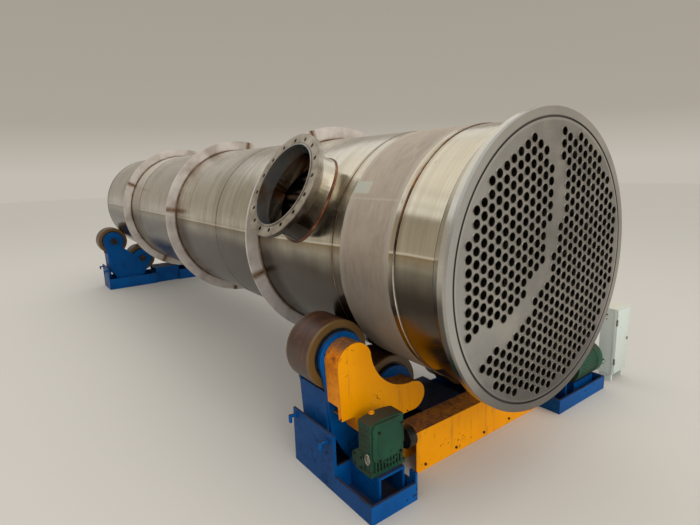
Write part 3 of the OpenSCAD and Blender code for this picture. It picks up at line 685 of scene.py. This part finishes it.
def hoop(axis, centre, major, minor, around=96, across=8):
    """A round bead bent into a ring about an axis."""
    clear_selection()
    bpy.ops.mesh.primitive_torus_add(
        location=centre,
        rotation=TURNS[axis],
        major_radius=major,
        minor_radius=minor,
        major_segments=around,
        minor_segments=across,
    )
    return settled()


def copy_of(thing, matrix):
    """A copy with its own mesh, moved by a matrix."""
    twin = thing.copy()
    twin.data = thing.data.copy()
    twin.data.transform(matrix)
    bpy.context.scene.collection.objects.link(twin)
    return twin


def about(centre, axis, degrees):
    """A turn about a line through a point."""
    centre = Vector(centre)
    turn = Matrix.Rotation(math.radians(degrees), 4, axis)
    return Matrix.Translation(centre) @ turn @ Matrix.Translation(-centre)


def stretched(thing, centre, factors):
    """The piece, with its mesh scaled about a point."""
    centre = Vector(centre)
    scale = Matrix.Diagonal((*factors, 1))
    thing.data.transform(Matrix.Translation(centre) @ scale @ Matrix.Translation(-centre))
    return thing


def joined(things, name):
    whole = pick(*things)
    if len(things) > 1:
        bpy.ops.object.join()
    whole.name = name
    whole.data.name = name
    return whole


def finish_piece(things, name, body, material, angle=35):
    """Joins and names a piece, smooths it, gives it its material and lets it ride."""
    thing = joined(things if isinstance(things, list) else [things], name)
    bpy.ops.object.shade_smooth_by_angle(angle=math.radians(angle))
    thing.data.materials.clear()
    thing.data.materials.append(MATERIALS[material])
    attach(thing, body)
    clear_selection()
    return thing


def both_sides(things):
    """The pieces and their mirror images across the vessel's upright plane."""
    twins = []
    for thing in things:
        twin = copy_of(thing, Matrix.Diagonal((1, -1, 1, 1)))
        pick(twin)
        bpy.ops.object.mode_set(mode="EDIT")
        bpy.ops.mesh.select_all(action="SELECT")
        bpy.ops.mesh.normals_make_consistent(inside=False)
        bpy.ops.object.mode_set(mode="OBJECT")
        twins.append(twin)
    return things + twins


def hex_bolt(axis, seat, across, head=0.7):
    """A hexagon head on a washer, standing out of a face along an axis."""
    rise = 0.12 * across
    top = Vector(seat) + along_axis(axis) * rise
    washer = rod(axis, seat, rise, 0.62 * across, 20, 0.03 * across)
    return joined([washer, rod(axis, top, head * across, 0.56 * across, 6, 0.05 * across)], "bolt")


class StageOperator(bpy.types.Operator):
    """Plain floor, soft light and the camera at the photograph's angle"""

    bl_idname = "exchanger.stage"
    bl_label = "Stage"

    def execute(self, context):
        clear_selection()
        bpy.ops.mesh.primitive_plane_add(size=sizes().floor_size, location=(-2, 0, 0))
        floor = settled()
        floor.name = "floor"
        mat, _, shader, _ = start_material("Plain pale floor", Roughness=0.8)
        shader.inputs["Base Color"].default_value = colours().floor
        floor.data.materials.append(mat)
        self.hall_light(context.scene)
        self.lamps(context)
        self.camera(context)
        context.scene.view_settings.view_transform = "Standard"
        return {"FINISHED"}

    def hall_light(self, scene):
        """Light by height, as from a hall's pale wall, its strip windows and its roof."""
        world = bpy.data.worlds.new("Soft hall light")
        world.use_nodes = True
        world.node_tree.nodes.clear()
        way = add(world, "TexCoord").outputs["Generated"]
        front, _, height = add(world, "SeparateXYZ", way).outputs
        # Degrees above the horizon and the light's colour there
        bands = [(-90, "#8d867c"), (-14, "#b2a99c"), (-3, "#c2bcb2"), (0, "#c2bcb2"),
                 (5, "#aba499"), (21, "#a39c90"), (25, "#8a847b"), (27, "#ffffff"),
                 (30, "#ffffff"), (31.5, "#b5b0a8"), (33, "#ffffff"), (37, "#ffffff"),
                 (38.5, "#bcb8b1"), (41, "#fbf8f2"), (50, "#f8f6f1"), (58, "#efece6"),
                 (90, "#ebe9e4")]
        stops = [((1 + math.sin(math.radians(a))) / 2, code) for a, code in bands]
        tone = add(world, "ValToRGB", add(world, "MapRange", height, -1.0, 1.0), stops=stops)
        # The hall's open end, in front of the tube sheet, is lighter
        power = add(world, "MapRange SMOOTHSTEP", front, 0.0, 0.7, 1.0, 1.5)
        add(world, "OutputWorld", add(world, "Background", tone, power))
        scene.world = world

    def lamps(self, context):
        aim = Vector((-1.5, 0, AXIS_Z))
        for name, place, side, power in (
            ("window lamp", (-2.5, -7.5, 5.2), (12.0, 4.0), 120),
            ("ceiling lamp", (-2.0, 1.5, 7.0), (10.0, 3.0), 90),
            ("front lamp", (6.5, -1.5, 3.5), (4.0, 3.0), 170),
        ):
            clear_selection()
            bpy.ops.object.light_add(type="AREA", location=place)
            lamp = context.object
            lamp.name = name
            lamp.data.shape = "RECTANGLE"
            lamp.data.size, lamp.data.size_y = side
            lamp.data.energy = power
            # The plate mirrors the hall's light and not the lamps
            lamp.visible_glossy = False
            lamp.rotation_euler = (aim - Vector(place)).to_track_quat("-Z", "Y").to_euler()

    def camera(self, context):
        # Fitted to the photograph: place, turn, focal length and the offset of its middle
        bpy.ops.object.camera_add(location=(1.799, -1.808, 1.469))
        camera = context.object
        camera.rotation_euler = [math.radians(a) for a in (78.349, 1.586, 52.819)]
        camera.data.sensor_width = 36.0
        camera.data.lens = 24.56
        camera.data.shift_x = -0.0067
        camera.data.shift_y = 0.0041
        camera.data.clip_start = 0.05
        camera.data.clip_end = 100.0
        context.scene.camera = camera


class FinishesOperator(bpy.types.Operator):
    """Materials of all the carried-over pieces"""

    bl_idname = "exchanger.finishes"
    bl_label = "Finishes"

    def execute(self, context):
        make_materials()
        plan = {
            "shell": [n for n in NODES if n.endswith("_course") or n == "nozzle_collar"],
            "sheet": ["front_tube_sheet", "rear_tube_sheet"],
            "ring": [n for n in NODES if n.startswith("stiffener_ring")],
            "tube": ["tube_bundle"],
            "dark": ["baffle_set", "cross_shaft"],
            "machined": ["nozzle_flange"],
            "blue": [n for n in NODES if "_base" in n or "_bogie" in n or n == "drive_cross_beam"],
            "yellow": ["gear_guard_left", "gear_guard_right", "shaft_cover"],
            "green": ["gearbox_left", "gearbox_right", "drive_motor"],
            "grey": ["control_box"],
            "tyre": [n for n in NODES if "_tyre_" in n],
        }
        plan["dark"] += [n for n in NODES if "_hub_" in n]
        for material, names in plan.items():
            for name in names:
                dress(name, material)
        left = set(NODES) - {n for names in plan.values() for n in names}
        if left:
            raise RuntimeError(f"pieces without a finish: {sorted(left)}")
        return {"FINISHED"}


# Tube pattern, by the same rule as the drilled sheet
FIRST_COLUMN = -515.83 * MM
COLUMNS = 26
LOW_ROW = 7 * MM
PATTERN_R = 552 * MM
PLUG_R = 5 * MM
PLUG_AT = Vector((-17, 7)) * MM
LANE_HALF_H = 49 * MM
LANE_HALF_W = 50 * MM
LANE = [Vector(p) * MM for p in ((-530, -236), (-308, -230), (-142, -113), (0, 0))]
UPRIGHT_LANES = ((40, 176, 3), (176, 416, 45), (416, 1000, 3))
TOP_GAP = (500 * MM, -110 * MM, 45 * MM)


def in_lane(y, z):
    for a, b in zip(LANE, LANE[1:]):
        if y < 0 and a.x <= y <= b.x:
            middle = a.y + (b.y - a.y) * (y - a.x) / (b.x - a.x)
            if abs(z - middle) < LANE_HALF_H:
                return True
    for low, high, centre in UPRIGHT_LANES:
        if low * MM < z < high * MM and abs(y - centre * MM) < LANE_HALF_W:
            return True
    return z > TOP_GAP[0] and TOP_GAP[1] < y < TOP_GAP[2]


def tube_places():
    pitch = sizes().tube_pitch
    turn = Matrix.Rotation(sizes().pattern_turn, 2)
    places = []
    for i in range(COLUMNS):
        y = FIRST_COLUMN + i * pitch * math.sqrt(3) / 2
        for k in range(-12, 13):
            z = LOW_ROW + (k + (i % 2) / 2) * pitch
            at = Vector((y, z))
            if at.length <= PATTERN_R and not in_lane(y, z) and (at - PLUG_AT).length >= PLUG_R:
                places.append(turn @ at)
    return places


class TubeEndsOperator(bpy.types.Operator):
    """Seal weld beads round the tube ends in the front tube sheet"""

    bl_idname = "exchanger.tube_ends"
    bl_label = "Tube ends"

    def execute(self, context):
        s = sizes()
        bead = hoop("x", (SHEET_X, 0, AXIS_Z), s.tube_radius + 0.4 * MM, s.seal_weld, 20, 6)
        beads = [copy_of(bead, Matrix.Translation((0, y, z))) for y, z in tube_places()]
        bpy.data.objects.remove(bead)
        finish_piece(beads, "tube_end_welds", VESSEL, "seal_weld", 80)
        return {"FINISHED"}


class GirthWeldsOperator(bpy.types.Operator):
    """Weld beads round the shell, and at the feet and splices of the stiffener rings"""

    bl_idname = "exchanger.girth_welds"
    bl_label = "Girth welds"

    def execute(self, context):
        half = sizes().girth_weld
        bead = hoop("x", (HUB_WELD, 0, AXIS_Z), SHELL_R - half * 0.5, half, 240, 12)
        finish_piece(bead, "hub_weld", VESSEL, "weld", 60)
        for i, x in enumerate(SEAMS):
            bead = hoop("x", (x, 0, AXIS_Z), SHELL_R - half * 0.45, half * 0.55, 240, 10)
            finish_piece(bead, f"seam_{i + 1}", VESSEL, "seam", 60)
        for name, first in SPLICES.items():
            low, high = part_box(f"stiffener_ring_{name}")
            feet = [hoop("x", (x, 0, AXIS_Z), SHELL_R + 1 * MM, 4.5 * MM, 160, 8)
                    for x in (low.x - 1 * MM, high.x + 1 * MM)]
            finish_piece(feet, f"ring_feet_{name}", VESSEL, "seam", 60)
            top = (high.z - low.z) / 2
            bar = block((low.x - 1 * MM, -4.5 * MM, AXIS_Z + SHELL_R),
                        (high.x + 1 * MM, 4.5 * MM, AXIS_Z + top + 0.8 * MM), 0.8 * MM)
            bars = [copy_of(bar, about((0, 0, AXIS_Z), "X", 90 - first - 90 * k))
                    for k in range(4)]
            bpy.data.objects.remove(bar)
            finish_piece(bars, f"ring_splices_{name}", VESSEL, "seam", 40)
        return {"FINISHED"}


class NeckWeldOperator(bpy.types.Operator):
    """Weld bead that follows the saddle between the nozzle's neck and the shell"""

    bl_idname = "exchanger.neck_weld"
    bl_label = "Neck weld"

    def execute(self, context):
        bead = hoop("z", (0, 0, 0), NECK_BEAD_R, sizes().neck_weld, 160, 10)
        # Across the nozzle the shell falls away, so the bead sinks with it
        for corner in bead.data.vertices:
            corner.co.z += math.sqrt(SHELL_R**2 - corner.co.y**2)
        lean = Matrix.Rotation(math.pi / 2 - NOZZLE_TILT, 4, "X")
        bead.data.transform(Matrix.Translation((NOZZLE_X, 0, AXIS_Z)) @ lean)
        finish_piece(bead, "neck_weld", VESSEL, "neck", 60)
        return {"FINISHED"}


class GearboxTrimOperator(bpy.types.Operator):
    """Ribs, cover rim, bolts, sight glass and filler plug of both worm gearboxes"""

    bl_idname = "exchanger.gearbox_trim"
    bl_label = "Gearbox trim"

    def execute(self, context):
        for side, middle in GEARBOXES.items():
            front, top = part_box(f"gearbox_{side}")[1].xz
            back = front - GEARBOX_T
            left, right = middle - GEARBOX_W / 2, middle + GEARBOX_W / 2
            ribs = []
            for i in range(5):
                z = GEARBOX_FOOT + (92 + 27 * i) * MM
                for y in (left, right):
                    near, far = Vector((front, y, z)), Vector((back, y, z))
                    ribs.append(block(far + mm(8, -5, 0), near + mm(-22, 5, 7), 2 * MM))
            random.seed(11)
            for i in range(9):
                foot = Vector((front, left + (22 + 18 * i) * MM, GEARBOX_FOOT + 12 * MM))
                reach = random.uniform(42, 66)
                ribs.append(block(foot + mm(-14, -3.5, 0), foot + mm(3.5, 3.5, reach), 2.4 * MM))
            # The front cover's oval rim stands a little proud
            cover = Vector((front - 1 * MM, middle + 14 * MM, GEARBOX_FOOT + 138 * MM))
            rim = hoop("x", cover, 88 * MM, 3.4 * MM, 64, 8)
            ribs.append(stretched(rim, cover, (1, 0.84, 1.14)))
            finish_piece(ribs, f"gearbox_ribs_{side}", ROLLS, "green", 40)
            bolts = [hex_bolt("x", (front - 1 * MM, middle + y * MM, z * MM), 12 * MM)
                     for y, z in COVER_BOLTS]
            if side == "left":
                # The worm shaft's end cover faces outwards
                cap = Vector((back, left - 14.5 * MM, MOTOR_AT[1]))
                bolts += [hex_bolt("y", cap + mm(x, 0, z), 9 * MM, 0.6)
                          for z in (24, -24) for x in (-24, 24)]
            finish_piece(bolts, f"gearbox_bolts_{side}", ROLLS, "dark", 30)
            hole = Vector((back + 10 * MM, middle - 28 * MM, top))
            plug = [rod("z", hole + mm(0, 0, -2), 9 * MM, 15 * MM, 24, 2 * MM),
                    rod("z", hole + mm(0, 0, 5), 8 * MM, 10 * MM, 6, 1 * MM)]
            finish_piece(plug, f"filler_plug_{side}", ROLLS, "yellow", 35)
            eye = Vector((front - 25 * MM, left, 229 * MM))
            glass = [rod("y", eye + mm(0, -4, 0), 8 * MM, 13 * MM, 24, 2 * MM),
                     hoop("y", eye + mm(0, -5, 0), 15 * MM, 3.4 * MM, 28, 8)]
            glass = [stretched(thing, eye, (1, 1, 1.5)) for thing in glass]
            finish_piece(glass, f"sight_glass_{side}", ROLLS, "bolt", 40)
        return {"FINISHED"}


class MotorTrimOperator(bpy.types.Operator):
    """Cooling fins, fan cowl and terminal box of the drive motor"""

    bl_idname = "exchanger.motor_trim"
    bl_label = "Motor trim"

    def execute(self, context):
        x, z = MOTOR_AT
        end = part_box("drive_motor")[1].y
        # Both ends of the line along the top of its body
        near = Vector((x, end - MOTOR_L, z + MOTOR_R))
        far = Vector((x, end, z + MOTOR_R))
        fin = block(near + mm(-1.6, 25, -14), far + mm(1.6, -70, 3), 1 * MM, 1)
        # The feet take the place of the lowest three
        fins = [copy_of(fin, about((x, 0, z), "Y", 10 * i))
                for i in range(36) if i not in (17, 18, 19)]
        bpy.data.objects.remove(fin)
        cowl = rod("y", (x, end - 72 * MM, z), 70 * MM, MOTOR_R + 4 * MM, 64, 5 * MM)
        finish_piece(fins + [cowl], "motor_fins", ROLLS, "green", 30)
        box = block(near + mm(-48, 50, -12), near + mm(48, 160, 44), 7 * MM)
        lid = block(near + mm(-51, 47, 36), near + mm(51, 163, 50), 5 * MM)
        finish_piece([box, lid], "terminal_box", ROLLS, "green", 35)
        return {"FINISHED"}


class GuardTrimOperator(bpy.types.Operator):
    """Screws of the gear guards and bolts of the shaft cover"""

    bl_idname = "exchanger.guard_trim"
    bl_label = "Guard trim"

    def execute(self, context):
        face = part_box("gear_guard_left")[1].x
        screws = [hex_bolt("x", (face, y * MM, z * MM), 7 * MM, 0.5) for y, z in GUARD_SCREWS]
        finish_piece(screws, "guard_screws", ROLLS, "dark", 30)
        low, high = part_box("shaft_cover")
        first = Vector((high.x, low.y, low.z)) + mm(0, 60, 30)
        bolts = [hex_bolt("x", first + mm(0, 225 * i, 0), 12 * MM, 0.5) for i in range(5)]
        finish_piece(bolts, "cover_bolts", ROLLS, "dark", 30)
        return {"FINISHED"}


class HooksOperator(bpy.types.Operator):
    """Bent hooks on the outer side plates of the bases"""

    bl_idname = "exchanger.hooks"
    bl_label = "Hooks"

    def execute(self, context):
        for unit, node in (("drive", "drive_base_left"), ("idler", "idler_base")):
            low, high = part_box(node)
            middle = 0.0 if unit == "drive" else (low.x + high.x) / 2
            hooks = []
            for x, z in HOOKS:
                at = Vector((middle, low.y, 0)) + mm(x, 0, z)
                hooks += [rod("y", at + mm(0, -34, 0), 36 * MM, 9 * MM, 20, 2 * MM),
                          rod("z", at + mm(0, -34, -34), 42 * MM, 9 * MM, 20, 3 * MM),
                          rod("y", at + mm(0, -6, 0), 6 * MM, 17 * MM, 24, 2 * MM)]
            finish_piece(both_sides(hooks), f"{unit}_hooks", ROLLS, "blue", 40)
        return {"FINISHED"}


class ControlBoxOperator(bpy.types.Operator):
    """Door, knockouts, hinges and lock of the control box"""

    bl_idname = "exchanger.control_box"
    bl_label = "Control box"

    def execute(self, context):
        low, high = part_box("control_box")
        foot = low.z + BOX_FOOT
        tall = high.z - foot
        # The lower and the upper end of the door's hinge side
        hinge, head = Vector((high.x, low.y, foot)), Vector((high.x, low.y, high.z))
        door = block(hinge + mm(0, 8, 8), Vector(high) + mm(6, -8, -8), 3 * MM)
        seam = block(hinge + mm(-16, -1.6, 2), head + mm(0, 4, -1), 1.2 * MM)
        finish_piece([door, seam], "control_door", ROLLS, "grey", 35)
        parts = []
        for share in (0.2, 0.8):
            at = hinge + mm(6, 5, -20) + Vector((0, 0, share * tall))
            parts.append(rod("z", at, 40 * MM, 5 * MM, 16, 1 * MM))
        lock = (high.x + 5 * MM, high.y - 26 * MM, foot + tall / 2)
        parts.append(rod("x", lock, 6 * MM, 11 * MM, 24, 2 * MM))
        finish_piece(parts, "control_hinges", ROLLS, "bolt", 35)
        # Two pairs of open knockouts for cable glands in the side wall
        holes = []
        for share in (0.9, 0.2):
            at = Vector((low.x, low.y, foot + share * tall)) + mm(38, -0.6, 0)
            holes += [rod("y", at, 4 * MM, 6 * MM, 20),
                      rod("y", at + mm(0, 0, -30), 4 * MM, 4 * MM, 20)]
        finish_piece(holes, "control_knockouts", ROLLS, "dark", 35)
        return {"FINISHED"}


class ExchangerPanel(bpy.types.Panel):
    """The exchanger's pieces, sizes and colours"""

    bl_idname = "VIEW3D_PT_exchanger"
    bl_label = "Exchanger"
    bl_space_type = "VIEW_3D"
    bl_region_type = "UI"
    bl_category = "Exchanger"

    def draw(self, context):
        for operator in OPERATORS:
            self.layout.operator(operator.bl_idname)
        for group in (context.scene.exchanger_sizes, context.scene.exchanger_colours):
            for key in group.bl_rna.properties.keys():
                if key not in ("rna_type", "name"):
                    self.layout.prop(group, key)


OPERATORS = (
    FinishesOperator,
    StageOperator,
    TubeEndsOperator,
    GirthWeldsOperator,
    NeckWeldOperator,
    GearboxTrimOperator,
    MotorTrimOperator,
    GuardTrimOperator,
    HooksOperator,
    ControlBoxOperator,
)
CLASSES = (ExchangerSizes, ExchangerColours, *OPERATORS, ExchangerPanel)


def register():
    for cls in CLASSES:
        bpy.utils.register_class(cls)
    bpy.types.Scene.exchanger_sizes = PointerProperty(type=ExchangerSizes)
    bpy.types.Scene.exchanger_colours = PointerProperty(type=ExchangerColours)


def unregister():
    del bpy.types.Scene.exchanger_colours
    del bpy.types.Scene.exchanger_sizes
    for cls in reversed(CLASSES):
        bpy.utils.unregister_class(cls)


def main():
    register()
    for operator in OPERATORS:
        group, name = operator.bl_idname.split(".")
        getattr(getattr(bpy.ops, group), name)()


if __name__ == "__main__":
    main()
